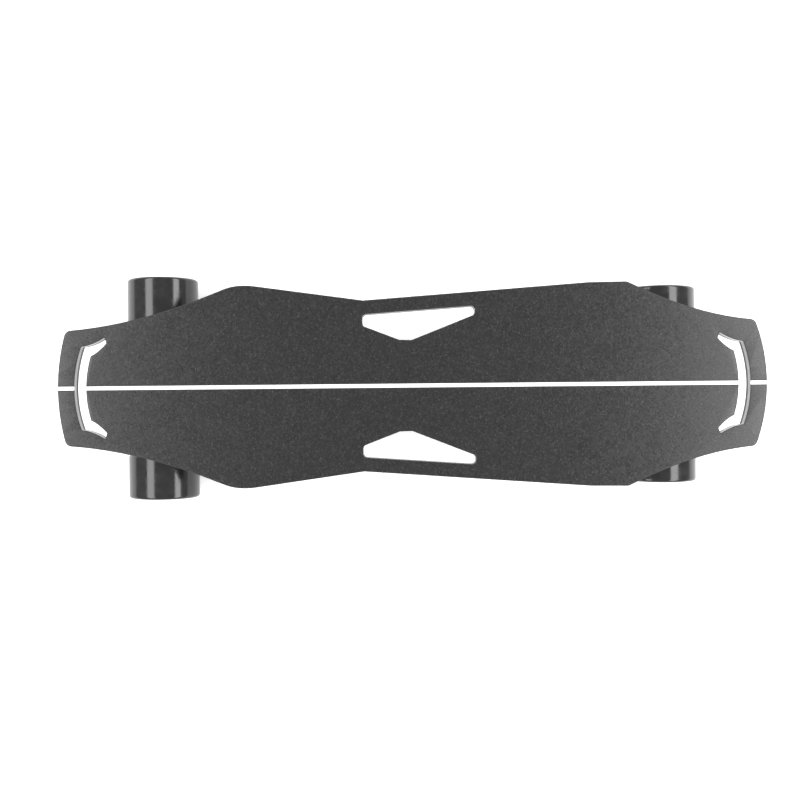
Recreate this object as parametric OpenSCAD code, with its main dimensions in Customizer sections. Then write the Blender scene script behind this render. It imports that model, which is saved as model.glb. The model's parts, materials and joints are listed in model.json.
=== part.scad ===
// Electric skateboard: aluminium deck plate over a black lower cover, two steering trucks,
// two plain front wheels and two hub-motor rear wheels.
// +X points to the front, +Y to the rider's left, +Z up. The origin is on the ground under the deck's middle.

/* [Deck] */
// Length of the deck from tip to tip
deck_l = 800; // [760:5:970]
// Greatest width of the deck
deck_w = 230; // [222:1:280]
// Width at the waist
waist_w = 193; // [185:1:200]
// Width of the rear neck
rear_neck_w = 131; // [126:1:146]
// Width of the front neck
front_neck_w = 143; // [132:1:150]
// Radius of the curved rear end
rear_end_r = 237; // [200:1:300]
// Radius of the curved front end
front_end_r = 200; // [170:1:300]
// Distance from the middle to the rear wide corner
rear_wide_x = 198; // [185:1:215]
// Distance from the middle back to the waist
waist_x = 55; // [30:1:70]
// Distance from the middle to the front wide corner
front_wide_x = 243; // [235:1:252]
// Rounding of the deck's corners
corner_r = 8; // [4:1:12]
// Thickness of the aluminium deck plate
plate_t = 9.2; // [8:0.1:12]
// Thickness of the plate's top over its pocket
skin_t = 2.5; // [1.6:0.1:3]
// Thickness of the grip sheets and the stripe
grip_t = 0.8; // [0.5:0.1:1.5]
// Width of the stripe along the middle
stripe_w = 4.3; // [3:0.1:8]
// Thickness of the black lower cover
cover_t = 7; // [6:0.5:9]
// Thickness of the cover's floor under its pocket
floor_t = 2; // [1.5:0.1:2.5]
// Width of the solid rim around the pockets
rim_w = 9; // [8:0.5:11]

/* [Handles and side holes] */
// Deck left between a handle slot and the tip
handle_band = 18.5; // [16:0.5:24]
// Width of a handle slot
slot_gap = 13.5; // [12:0.5:18]
// Outer radius of a handle slot's curve
slot_r = 140; // [125:1:170]
// Half width of a handle slot's curved part
slot_half = 47; // [43:1:48]
// Rear end of the side holes
hole_rear_x = -56; // [-70:1:-50]
// Front end of the side holes
hole_front_x = 71; // [60:1:80]
// Deck left between a side hole and the deck's edge
hole_band = 16; // [14:0.5:20]
// Distance from the middle to the side hole's inner corner
hole_in = 51.4; // [50.5:0.1:56]

/* [Trucks] */
// Distance between the axles
wheelbase = 594; // [590:1:606]
// Height from the axle to the top of the baseplate
truck_h = 56; // [55:0.5:62]
// Thickness of the riser pads
riser_t = 3; // [2:0.5:6]
// Slope of the steering axis
pivot_angle = 30; // [28:1:31]
// Lean of the kingpin from upright
kingpin_tilt = 12; // [8:1:14]
// Kingpin diameter
kingpin_d = 10; // [8:0.5:10]
// Front axle diameter
axle_d = 8; // [7:0.5:9]
// Hole spacing of the baseplate along the board
bolt_sx = 63.5; // [60:0.5:66]
// Hole spacing of the baseplate across the board
bolt_sy = 41.3; // [40:0.1:44]
// Truck bolt diameter
bolt_d = 5; // [4:0.5:6]

/* [Wheels] */
// Diameter of all four wheels
wheel_d = 83; // [80:1:100]
// Width of all four wheels
wheel_w = 52; // [50:1:63]
// Width over the front wheels
front_track = 230; // [226:1:276]
// Width over the rear wheels
rear_track = 260; // [256:1:312]
// Rounding of the wheels' edges
wheel_lip = 3.5; // [2:0.5:5]
// Outer radius of the front wheel's core
core_r = 25; // [20:1:28]
// Radius of the hub motor's shell
can_r = 35; // [34:0.5:36]
// Diameter of the hub motor's axle
motor_axle_d = 12; // [10:0.5:12]

/* [Battery and electronics] */
// Diameter of a battery cell
cell_d = 18.4; // [18:0.1:18.6]
// Length of a battery cell
cell_l = 65; // [60:1:65]
// Cells side by side
cells_across = 4; // [3:1:4]
// Rows of cells along the board
cell_rows = 5; // [3:1:5]
// Front end of the battery space
battery_front_x = 237; // [230:1:238]
// Rear end of the controller space
controller_rear_x = -226; // [-227:1:-220]
// Inner length of the controller space
controller_l = 106; // [100:1:108]
// Depth of the trays under the cover
tray_drop = 8.5; // [8:0.1:12]
// Wall of the trays
tray_wall = 2; // [1.5:0.1:2.5]
// Gasket thickness
gasket_t = 1; // [0.5:0.1:2]

/* [Controls] */
// Distance from the middle back to the power button and the charge socket
control_x = 190; // [170:1:200]
// Distance from the middle out to the power button and the charge socket
control_y = 74; // [68:1:80]
// Radius of the power button
button_r = 5.5; // [4.5:0.1:6]
// How far the power button travels
button_travel = 1.2; // [0.8:0.1:1.4]
// Radius of the charge socket's mouth
jack_r = 3.15; // [2.5:0.05:4]
// Depth of the charge socket's mouth
jack_depth = 9.5; // [8:0.1:10]

/* [Hidden] */
$fn = 64;

// Clearances
fit = 0.05;          // between a shaft or insert and its hole
gap = 0.3;           // between pieces that move past each other
cut = 1;             // how far a cutting shape runs past a face

// Heights, from the ground up
axle_z = wheel_d / 2;
cover_z = axle_z + truck_h + riser_t;
plate_z = cover_z + cover_t;
grip_z = plate_z + plate_t;
ceiling_z = grip_z - skin_t;
tray_flange_t = 2;
flange_z = cover_z - gasket_t - tray_flange_t;
tray_z = cover_z - tray_drop;

// ---------------------------------------------------------------- deck outline

bend_steps = 12;
function bend(a, b, c) = [for (i = [0 : bend_steps]) let (t = i / bend_steps)
    (1 - t) * (1 - t) * a + 2 * t * (1 - t) * b + t * t * c];
// Distance from the deck's middle to its curved end, v from the centre line
function end_x(v, r) = deck_l / 2 - r + sqrt(r * r - v * v);

tip_run = 15;        // straight edge beside each tip
wide_v = deck_w / 2;
rear_v = rear_neck_w / 2;
front_v = front_neck_w / 2;
rear_wide = [-rear_wide_x, wide_v + 1.5];
rear_bend_in = rear_wide - [16, 6.7];
waist = [-waist_x, waist_w / 2];
rear_bend_out = rear_wide + 0.15 * (waist - rear_wide);
front_soft = [front_wide_x - 43, wide_v - 0.1];
front_wide = [front_wide_x, wide_v + 0.4];
end_steps = 16;

side_points = concat(
    [[-end_x(rear_v, rear_end_r), rear_v]],
    bend([-deck_l / 2 + tip_run, rear_v], [-rear_wide_x - 107, rear_v + 6.4], rear_bend_in),
    bend(rear_bend_in, rear_wide, rear_bend_out),
    [waist, front_soft],
    bend(front_wide, [front_wide_x + 77.7, front_v + 5.2], [deck_l / 2 - tip_run + 1, front_v]),
    [[end_x(front_v, front_end_r), front_v]]);
// Half width of the deck at a distance u along it
function edge_v(u) = lookup(u, side_points);

module deck_outline() {
    front_end = [for (i = [1 : end_steps - 1]) let (v = front_v * (1 - 2 * i / end_steps))
        [end_x(v, front_end_r), v]];
    rear_end = [for (i = [1 : end_steps - 1]) let (v = rear_v * (2 * i / end_steps - 1))
        [-end_x(v, rear_end_r), v]];
    right_side = [for (i = [len(side_points) - 1 : -1 : 0]) [side_points[i][0], -side_points[i][1]]];
    offset(r = corner_r)
        offset(delta = -corner_r)
            polygon(concat(side_points, front_end, right_side, rear_end));
}

// Curved slot at a tip; each end turns into a foot that bows outwards. Drawn for the front
slot_x = deck_l / 2 - handle_band;
slot_cx = slot_x - slot_r;
slot_elbow = [slot_cx + sqrt(pow(slot_r, 2) - pow(slot_half, 2)), slot_half];
heel_v = slot_half - 10.5;
slot_heel = [slot_cx + sqrt(pow(slot_r - slot_gap, 2) - pow(heel_v, 2)), heel_v];
toe_out = slot_elbow + [-26.4, 10.3];    // far corners of the foot
toe_in = slot_elbow + [-28.6, 3.8];
foot_outline = concat(
    bend(slot_elbow, slot_elbow + [-11.4, 0.6], toe_out),
    bend(toe_in, slot_heel + [-8.2, 3.6], slot_heel),
    [slot_heel + [4, 0]]);
module handle_slot() {
    offset(r = 1.6) offset(delta = -1.6) {
        translate([slot_cx, 0])
            intersection() {
                difference() {
                    circle(r = slot_r, $fn = 180);
                    circle(r = slot_r - slot_gap, $fn = 180);
                }
                translate([0, -slot_half])
                    square([2 * slot_r, 2 * slot_half]);
            }
        for (side = [0, 1])
            mirror([0, side]) polygon(foot_outline);
    }
}

// Three-cornered side hole, left side; its outer edge runs beside the deck's edge
hole_r = 4.8;
hole_flat = [-14.5, -0.5];
hole_slope = 0.395;
module side_hole() {
    offset(r = hole_r) offset(delta = -hole_r)
        polygon([
            [hole_rear_x, edge_v(hole_rear_x) - hole_band],
            [hole_front_x, edge_v(hole_front_x) - hole_band],
            [hole_front_x, hole_in + hole_slope * (hole_front_x - hole_flat[1])],
            [hole_flat[1], hole_in],
            [hole_flat[0], hole_in + 0.4],
            [hole_rear_x, hole_in + hole_slope * (hole_flat[0] - hole_rear_x)]]);
}

module deck_openings() {
    handle_slot();
    mirror([1, 0]) handle_slot();
    side_hole();
    mirror([0, 1]) side_hole();
}

module deck_shape() {
    difference() {
        deck_outline();
        deck_openings();
    }
}

// ---------------------------------------------------------------- spaces for battery and electronics

holder_t = 4;                 // thickness of a cell holder
holder_pocket = 1.5;          // how far a cell's end sits in a holder
holder_wall = 0.8;            // holder left outside the outer cells
cell_pitch = cell_d + 0.5;
row_pitch = cell_l + holder_t - 2 * holder_pocket;
pack_l = cell_rows * row_pitch + holder_t;
pack_w = (cells_across - 1) * cell_pitch + cell_d + 2 * holder_wall;
pack_gap = 1;                 // free space around the pack
space_w = pack_w + 2 * pack_gap;
battery_l = pack_l + 2 * pack_gap;
battery_x = battery_front_x - battery_l;
cell_z = ceiling_z - 0.5 - cell_d / 2;
flange_w = 7;                 // width of a tray's flange outside its wall
space_r = 3;                  // corner radius of the spaces
frame_w = 9;                  // solid cover left around a window
tray_screw_in = 3;            // from the flange's edge to its screws
tray_screw_d = 3;
cover_screw_d = 4;
cover_screw_depth = 6;
truck_pad_l = 84;
pocket_half = wheelbase / 2 - truck_pad_l / 2 - 4;

// A space is [rear end, length]
battery_space = [battery_x, battery_l];
controller_space = [controller_rear_x, controller_l];

module space_shape(space, grow) {
    translate([space[0] - grow, -space_w / 2 - grow])
        translate([space_r, space_r])
            offset(r = space_r)
                square([space[1] + 2 * grow - 2 * space_r, space_w + 2 * grow - 2 * space_r]);
}

// Room inside the deck: between the trucks, a rim's width from every edge
module pocket_shape() {
    difference() {
        intersection() {
            offset(delta = -rim_w) deck_outline();
            square([2 * pocket_half, deck_w], center = true);
        }
        offset(delta = rim_w - 3) deck_openings();
        for (spot = cover_screw_spots)
            translate(spot) circle(r = cover_screw_d / 2 + 3);
    }
}

// Cover screws: stations along the edge, an inset from it
screw_inset = 6;
screw_stations = [-deck_l / 2 + 82, -266, -198, -125, -waist_x / 5, 105, 175, 236, 300, deck_l / 2 - 50];
cover_screw_spots = concat(
    [for (u = screw_stations) [u, edge_v(u) - screw_inset]],
    [for (u = screw_stations) [u, screw_inset - edge_v(u)]]);

// Tray screws of one space
function tray_screw_spots(space) = let (
        out = tray_wall + flange_w - tray_screw_in,
        y = space_w / 2 + out,
        n = round(space[1] / 60))
    concat(
        [for (i = [0 : n], side = [-1, 1]) [space[0] + space[1] * i / n, side * y]],
        [[space[0] - out, 0], [space[0] + space[1] + out, 0]]);

module truck_bolt_spots() {
    for (end = [-1, 1], sx = [-0.5, 0.5], sy = [-0.5, 0.5])
        translate([end * wheelbase / 2 + sx * bolt_sx, sy * bolt_sy, 0]) children();
}

// ---------------------------------------------------------------- deck pieces

plate_thread = plate_t - 2.7;   // depth of the blind threads for the truck bolts

module deck_plate() {
    color("gainsboro")
        difference() {
            translate([0, 0, plate_z]) linear_extrude(plate_t) deck_shape();
            translate([0, 0, plate_z - cut]) linear_extrude(plate_t - skin_t + cut) pocket_shape();
            for (spot = cover_screw_spots)
                translate([spot[0], spot[1], plate_z - cut])
                    cylinder(d = cover_screw_d + 2 * fit, h = cover_screw_depth + cut);
            truck_bolt_spots()
                translate([0, 0, plate_z - cut]) cylinder(d = bolt_d + 2 * fit, h = plate_thread + cut);
        }
}

module grip_half(side) {
    translate([0, 0, grip_z])
        linear_extrude(grip_t)
            intersection() {
                deck_shape();
                translate([-deck_l, side > 0 ? stripe_w / 2 + fit : -deck_w - stripe_w / 2 - fit])
                    square([2 * deck_l, deck_w]);
            }
}
module grip_left() { color("dimgray") grip_half(1); }
module grip_right() { color("dimgray") grip_half(-1); }

module centre_stripe() {
    color("white")
        translate([0, 0, grip_z])
            linear_extrude(grip_t)
                intersection() {
                    deck_shape();
                    square([2 * deck_l, stripe_w], center = true);
                }
}

grommet_x = wheelbase / 2 - 54;
grommet_y = 20;
grommet_r = 5;
bezel_r = 7.5;
jack_body_r = 5.5;
lens_offset = 24;
lens_l = 22;
lens_w = 5;

module bottom_cover() {
    color([0.12, 0.12, 0.13])
        difference() {
            translate([0, 0, cover_z]) linear_extrude(cover_t) deck_shape();
            translate([0, 0, cover_z + floor_t])
                linear_extrude(cover_t)
                    difference() {
                        pocket_shape();
                        space_shape(battery_space, frame_w);
                        space_shape(controller_space, frame_w);
                    }
            translate([0, 0, cover_z - cut]) {
                linear_extrude(cover_t + 2 * cut) {
                    space_shape(battery_space, 0);
                    space_shape(controller_space, 0);
                }
                for (spot = cover_screw_spots)
                    translate([spot[0], spot[1], 0]) {
                        cylinder(d = cover_screw_d + 2 * fit, h = cover_t + 2 * cut);
                        cylinder(d = 2 * cover_screw_d + 2 * fit, h = 2.2 + cut);
                    }
                for (space = [battery_space, controller_space], spot = tray_screw_spots(space))
                    translate([spot[0], spot[1], 0]) cylinder(d = tray_screw_d + 2 * fit, h = 5 + cut);
                truck_bolt_spots() cylinder(d = bolt_d + 2 * fit, h = cover_t + 2 * cut);
                for (side = [-1, 1])
                    translate([-grommet_x, side * grommet_y, 0])
                        cylinder(r = grommet_r + fit, h = cover_t + 2 * cut);
                translate([-control_x, control_y, 0]) cylinder(r = bezel_r + fit, h = cover_t);
                translate([-control_x, -control_y, 0]) cylinder(r = jack_body_r + fit, h = cover_t);
                translate([-control_x + lens_offset, control_y, cover_t / 2])
                    cube([lens_l + 2 * fit, lens_w + 2 * fit, cover_t], center = true);
            }
        }
}

module cover_screws() {
    head_t = 2;
    color("dimgray")
        for (spot = cover_screw_spots)
            translate([spot[0], spot[1], cover_z + 2.2 - head_t])
                difference() {
                    union() {
                        cylinder(d = 2 * cover_screw_d, h = head_t);
                        cylinder(d = cover_screw_d, h = head_t + cover_t - 2.2 + cover_screw_depth - 0.5);
                    }
                    translate([0, 0, -cut]) cylinder(d = 2.5, h = 1.2 + cut, $fn = 6);
                }
}

// ---------------------------------------------------------------- trays, battery and electronics

module tray(space) {
    wall_top = cover_z - gasket_t;
    difference() {
        union() {
            translate([0, 0, tray_z]) linear_extrude(wall_top - tray_z) space_shape(space, tray_wall);
            translate([0, 0, flange_z])
                linear_extrude(tray_flange_t) space_shape(space, tray_wall + flange_w);
        }
        translate([0, 0, tray_z + tray_wall]) linear_extrude(tray_drop) space_shape(space, 0);
        for (spot = tray_screw_spots(space))
            translate([spot[0], spot[1], flange_z - cut])
                cylinder(d = tray_screw_d + 2 * fit, h = tray_flange_t + 2 * cut);
    }
}
module battery_tray() { color([0.15, 0.15, 0.16]) tray(battery_space); }
module controller_tray() { color([0.15, 0.15, 0.16]) tray(controller_space); }

module tray_gaskets() {
    color([0.05, 0.05, 0.05])
        for (space = [battery_space, controller_space])
            difference() {
                translate([0, 0, cover_z - gasket_t])
                    linear_extrude(gasket_t)
                        difference() {
                            space_shape(space, tray_wall + flange_w);
                            space_shape(space, 0);
                        }
                for (spot = tray_screw_spots(space))
                    translate([spot[0], spot[1], cover_z - gasket_t - cut])
                        cylinder(d = tray_screw_d + 2 * fit, h = gasket_t + 2 * cut);
            }
}

module tray_screws() {
    head_t = 1.8;
    color("silver")
        for (space = [battery_space, controller_space], spot = tray_screw_spots(space))
            translate([spot[0], spot[1], flange_z])
                difference() {
                    union() {
                        translate([0, 0, -head_t]) cylinder(d = 1.8 * tray_screw_d, h = head_t);
                        cylinder(d = tray_screw_d, h = tray_flange_t + gasket_t + 4.5);
                    }
                    translate([0, 0, -head_t - cut]) cylinder(d = 2, h = 1 + cut, $fn = 6);
                }
}

function cell_y(i) = (i - (cells_across - 1) / 2) * cell_pitch;
pack_x = battery_x + pack_gap;

module battery_cells() {
    nub_t = 0.5;       // raised pole, inside the cell's length
    color("teal")
        for (row = [0 : cell_rows - 1], i = [0 : cells_across - 1])
            translate([pack_x + holder_t - holder_pocket + row * row_pitch + fit, cell_y(i), cell_z])
                rotate([0, 90, 0]) {
                    cylinder(d = cell_d, h = cell_l - nub_t - 2 * fit);
                    translate([0, 0, cell_l - nub_t - 2 * fit]) cylinder(d = 6, h = nub_t);
                }
}

module cell_holders() {
    holder_z = tray_z + tray_wall + 0.2;
    holder_h = ceiling_z - 0.2 - holder_z;
    color("black")
        for (row = [0 : cell_rows])
            difference() {
                translate([pack_x + row * row_pitch, -pack_w / 2, holder_z])
                    cube([holder_t, pack_w, holder_h]);
                for (i = [0 : cells_across - 1])
                    translate([pack_x + row * row_pitch, cell_y(i), cell_z])
                        rotate([0, 90, 0]) {
                            if (row > 0)
                                translate([0, 0, -cut])
                                    cylinder(d = cell_d + 2 * fit, h = holder_pocket + cut);
                            if (row < cell_rows)
                                translate([0, 0, holder_t - holder_pocket])
                                    cylinder(d = cell_d + 2 * fit, h = holder_pocket + cut);
                            cylinder(d = cell_d / 2, h = holder_t);
                        }
            }
}

board_t = 1.6;
board_z = cover_z + 2.5;
bms_l = 34;
board_gap = 3;
board_w = space_w - 2 * board_gap;
main_board_l = controller_l - bms_l - 3 * board_gap;
main_board_x = controller_rear_x + board_gap;
sink_t = 4.6;
post_d = 5;

// Boards stand on posts that are screwed to the ceiling of the deck plate
module board(x, l) {
    difference() {
        translate([x, -board_w / 2, board_z]) cube([l, board_w, board_t]);
        for (sx = [4, l - 4], sy = [-1, 1])
            translate([x + sx, sy * (board_w / 2 - 4), board_z - cut]) cylinder(d = 3, h = board_t + 2 * cut);
    }
}
module board_posts(x, l, top_z) {
    for (sx = [4, l - 4], sy = [-1, 1])
        translate([x + sx, sy * (board_w / 2 - 4), board_z + board_t])
            cylinder(d = post_d, h = top_z - board_z - board_t);
}

module controller_board() {
    color("darkgreen") board(main_board_x, main_board_l);
}

module bms_board() {
    bms_x = controller_rear_x + controller_l - board_gap - bms_l;
    color("darkgreen") {
        board(bms_x, bms_l);
        board_posts(bms_x, bms_l, ceiling_z);
        for (i = [0 : 3])
            translate([bms_x + bms_l / 2 - 5, -18 + 10 * i, board_z + board_t]) cube([10, 6, 2.3]);
    }
}

module heat_sink() {
    color("silver")
        difference() {
            union() {
                translate([main_board_x, -board_w / 2, ceiling_z - sink_t])
                    cube([main_board_l, board_w, sink_t]);
                board_posts(main_board_x, main_board_l, ceiling_z - sink_t);
            }
            for (i = [1 : 10])
                translate([main_board_x + 10, -board_w / 2 + i * board_w / 11 - 1, ceiling_z - sink_t + 2])
                    cube([main_board_l - 20, 2, sink_t]);
        }
}

// Transistors between board and heat sink, capacitors and the radio receiver under the board
module controller_parts() {
    color("black") {
        for (i = [0 : 5], row = [0, 1])
            translate([main_board_x + 9 + 8 * i, row ? 12 : -22, board_z + board_t]) {
                cube([6, 10, ceiling_z - sink_t - board_z - board_t]);
            }
        for (i = [0 : 3])
            translate([main_board_x + 12 + 11 * i, -14, board_z - 4])
                rotate([-90, 0, 0]) cylinder(r = 4, h = 20);
        translate([main_board_x + main_board_l - 16, 10, board_z - 3]) cube([12, 20, 3]);
    }
}

module power_harness() {
    wire_r = 1.6;
    over_frame_z = plate_z + wire_r + gap;
    over_board_z = board_z + board_t + wire_r + gap;
    color("crimson") {
        // battery leads to the boards
        for (side = [-1, 1])
            translate([controller_rear_x + controller_l - board_gap - 8, side * 22, over_frame_z])
                rotate([0, 90, 0])
                    cylinder(r = wire_r, h = battery_x - controller_rear_x - controller_l + 10);
        // lead from the controller to the battery monitor
        for (side = [-1, 1])
            translate([main_board_x + main_board_l - 8, side * 8, over_board_z])
                rotate([0, 90, 0]) cylinder(r = wire_r, h = board_gap + 12);
    }
}

// ---------------------------------------------------------------- controls, under the rear of the deck

bezel_flange_t = 2;
button_stem = 7;
spring_space = button_travel + 2.2;

module button_bezel() {
    color("silver")
        translate([-control_x, control_y, cover_z])
            difference() {
                union() {
                    translate([0, 0, -bezel_flange_t]) cylinder(r = bezel_r + 2, h = bezel_flange_t);
                    cylinder(r = bezel_r, h = ceiling_z - cover_z - 1);
                }
                translate([0, 0, -bezel_flange_t - cut])
                    cylinder(r = button_r + fit, h = bezel_flange_t + cut + button_stem + spring_space);
            }
}

module power_button() {
    proud = 1.5;
    color("black")
        translate([-control_x, control_y, cover_z - bezel_flange_t - proud])
            cylinder(r = button_r, h = proud + bezel_flange_t + button_stem);
}

module button_spring() {
    wire = 0.5;
    color("silver")
        for (i = [0 : 3])
            translate([-control_x, control_y, cover_z + button_stem + gap + wire / 2 + i * 0.85])
                rotate_extrude() translate([button_r - 1.5, 0]) circle(d = wire, $fn = 16);
}

module level_lens() {
    color("skyblue")
        translate([-control_x + lens_offset, control_y, cover_z + floor_t / 2])
            cube([lens_l, lens_w, floor_t + 1], center = true);
}

jack_flange_t = 2;
jack_flange_r = 8;
hinge_y = control_y + jack_flange_r + 2.5;
pin_r = 0.8;
knuckle_r = 1.8;
cap_t = 2.2;
cap_top_z = cover_z - jack_flange_t - gap;
pin_z = cap_top_z - knuckle_r;
knuckle_l = 5;
ear_t = 2;
pin_l = knuckle_l + 2 * gap + 2 * ear_t;

module charge_socket() {
    color("black")
        difference() {
            union() {
                translate([-control_x, -control_y, cover_z - jack_flange_t])
                    cylinder(r = jack_flange_r, h = jack_flange_t);
                translate([-control_x, -control_y, cover_z]) cylinder(r = jack_body_r, h = jack_depth);
                translate([-control_x - pin_l / 2, -hinge_y - knuckle_r, cover_z - jack_flange_t])
                    cube([pin_l, knuckle_r + 8, jack_flange_t]);
                for (side = [-1, 1])
                    translate([-control_x + side * (knuckle_l / 2 + gap + ear_t / 2), -hinge_y, 0]) {
                        translate([0, 0, pin_z]) rotate([0, 90, 0])
                            cylinder(r = knuckle_r, h = ear_t, center = true);
                        translate([-ear_t / 2, -knuckle_r, pin_z])
                            cube([ear_t, 2 * knuckle_r, cover_z - jack_flange_t - pin_z]);
                    }
            }
            translate([-control_x, -control_y, cover_z - jack_flange_t - cut])
                cylinder(r = jack_r, h = jack_depth + cut);
            translate([-control_x, -hinge_y, pin_z])
                rotate([0, 90, 0]) cylinder(r = pin_r + fit, h = 40, center = true);
        }
}

module cap_pin() {
    color("silver")
        translate([-control_x, -hinge_y, pin_z])
            rotate([0, 90, 0]) cylinder(r = pin_r, h = pin_l, center = true);
}

module charge_cap() {
    color([0.08, 0.08, 0.08])
        difference() {
            union() {
                translate([-control_x, -control_y, cap_top_z - cap_t]) cylinder(r = jack_flange_r, h = cap_t);
                translate([-control_x - knuckle_l / 2, -hinge_y, cap_top_z - cap_t])
                    cube([knuckle_l, 8, cap_t]);
                translate([-control_x, -hinge_y, pin_z])
                    rotate([0, 90, 0]) cylinder(r = knuckle_r, h = knuckle_l, center = true);
                translate([-control_x - 3, -control_y + jack_flange_r - 1, cap_top_z - cap_t])
                    cube([6, 4, cap_t]);
            }
            translate([-control_x, -hinge_y, pin_z])
                rotate([0, 90, 0]) cylinder(r = pin_r + fit, h = 40, center = true);
        }
}

// ---------------------------------------------------------------- trucks
// Drawn for the front: x outwards from the axle, z up from it. The rear one is mirrored.

ring_x = -20;           // middle of the hanger's ring
ring_z = 18;
ring_h = 10;
ring_r = 19;
base_t = 7;
base_l = 90;
base_w = 58;
kingpin_r = kingpin_d / 2;
upper_bushing_h = 14;
lower_bushing_h = 12;
bushing_r = 13;
washer_t = 2;
kingpin_nut_h = 9;
kingpin_head_s = 28;    // from the ring up to the kingpin's head
kingpin_head_h = 6;
seat_s = ring_h / 2 + upper_bushing_h + washer_t;
nut_s = -ring_h / 2 - lower_bushing_h - washer_t - kingpin_nut_h;
nose_r = 6;
nose_s = 34;            // from the ring out along the steering axis to the nose
cup_s = 42;
cup_h = 12;
cup_r = 8;
cup_bore = 10.5;
base_x = -base_l / 2 - 1;

module at_truck(end) {
    translate([end * wheelbase / 2, 0, axle_z])
        mirror([end < 0 ? 1 : 0, 0, 0]) children();
}
module along_kingpin(s) {
    translate([ring_x, 0, ring_z]) rotate([0, kingpin_tilt, 0]) translate([0, 0, s]) children();
}
module along_pivot(s) {
    translate([ring_x, 0, ring_z]) rotate([0, 90 - pivot_angle, 0]) translate([0, 0, s]) children();
}

module riser_pads() {
    color([0.1, 0.1, 0.1])
        for (end = [-1, 1])
            at_truck(end)
                difference() {
                    translate([base_x, -base_w / 2, truck_h]) cube([base_l, base_w, riser_t]);
                    for (sx = [-0.5, 0.5], sy = [-0.5, 0.5])
                        translate([sx * bolt_sx, sy * bolt_sy, truck_h - cut])
                            cylinder(d = bolt_d + 2 * fit, h = riser_t + 2 * cut);
                }
}

module baseplate() {
    difference() {
        union() {
            translate([base_x, -base_w / 2, truck_h - base_t])
                linear_extrude(base_t)
                    translate([5, 5]) offset(r = 5) square([base_l - 10, base_w - 10]);
            intersection() {
                union() {
                    along_kingpin(seat_s) cylinder(r = 14, h = 40);
                    along_pivot(cup_s - 1) cylinder(r = 12, h = 30);
                    translate([ring_x + 14, -4, truck_h - base_t - 3]) cube([30, 8, 5]);
                }
                translate([-60, -50, 0]) cube([120, 100, truck_h]);
            }
        }
        along_kingpin(seat_s - cut) cylinder(r = kingpin_r + fit, h = 60);
        along_kingpin(kingpin_head_s) cylinder(r = 9, h = 30);
        along_pivot(cup_s - 2 * cut) cylinder(r = cup_r + fit, h = cup_h + 2 * cut);
        for (sx = [-0.5, 0.5], sy = [-0.5, 0.5])
            translate([sx * bolt_sx, sy * bolt_sy, truck_h - base_t - cut])
                cylinder(d = bolt_d + 2 * fit, h = base_t + 2 * cut);
    }
}
module front_baseplate() { color("darkgray") at_truck(1) baseplate(); }
module rear_baseplate() { color("darkgray") at_truck(-1) baseplate(); }

module truck_bolts() {
    head_t = 3;
    color("dimgray")
        truck_bolt_spots()
            translate([0, 0, axle_z + truck_h - base_t])
                difference() {
                    union() {
                        translate([0, 0, -head_t]) cylinder(d = 1.8 * bolt_d, h = head_t);
                        cylinder(d = bolt_d, h = base_t + riser_t + cover_t + plate_thread - 0.3);
                    }
                    translate([0, 0, -head_t - cut]) cylinder(d = 0.7 * bolt_d, h = 1.8 + cut, $fn = 6);
                }
}

module kingpins() {
    color("silver")
        for (end = [-1, 1])
            at_truck(end) {
                along_kingpin(nut_s - 1.5) cylinder(r = kingpin_r, h = kingpin_head_s - nut_s + 1.5);
                along_kingpin(kingpin_head_s) cylinder(r = 8.5, h = kingpin_head_h, $fn = 6);
            }
}

// Nut, lower washer and upper washer of each kingpin
module kingpin_nuts() {
    color("silver")
        for (end = [-1, 1])
            at_truck(end) {
                along_kingpin(nut_s) hollow(8.3, kingpin_r + fit, kingpin_nut_h - fit, 6);
                along_kingpin(nut_s + kingpin_nut_h) hollow(12, kingpin_r + fit, washer_t, 64);
                along_kingpin(seat_s - washer_t) hollow(13, kingpin_r + fit, washer_t, 64);
            }
}
module hollow(r_out, r_in, h, sides) {
    difference() {
        cylinder(r = r_out, h = h, $fn = sides);
        translate([0, 0, -cut]) cylinder(r = r_in, h = h + 2 * cut);
    }
}

module bushings() {
    along_kingpin(ring_h / 2 + fit)
        hollow(bushing_r, kingpin_r + fit, upper_bushing_h - 2 * fit, 64);
    along_kingpin(-ring_h / 2 - lower_bushing_h + fit)
        difference() {
            cylinder(r1 = bushing_r - 3, r2 = bushing_r, h = lower_bushing_h - 2 * fit);
            translate([0, 0, -cut]) cylinder(r = kingpin_r + fit, h = lower_bushing_h + 2 * cut);
        }
}
module front_bushings() { color("firebrick") at_truck(1) bushings(); }
module rear_bushings() { color("firebrick") at_truck(-1) bushings(); }

module pivot_cups() {
    color("firebrick")
        for (end = [-1, 1])
            at_truck(end)
                along_pivot(cup_s)
                    difference() {
                        cylinder(r = cup_r, h = cup_h - fit);
                        translate([0, 0, -cut]) cylinder(r = nose_r + fit, h = cup_bore + cut);
                    }
}

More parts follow.
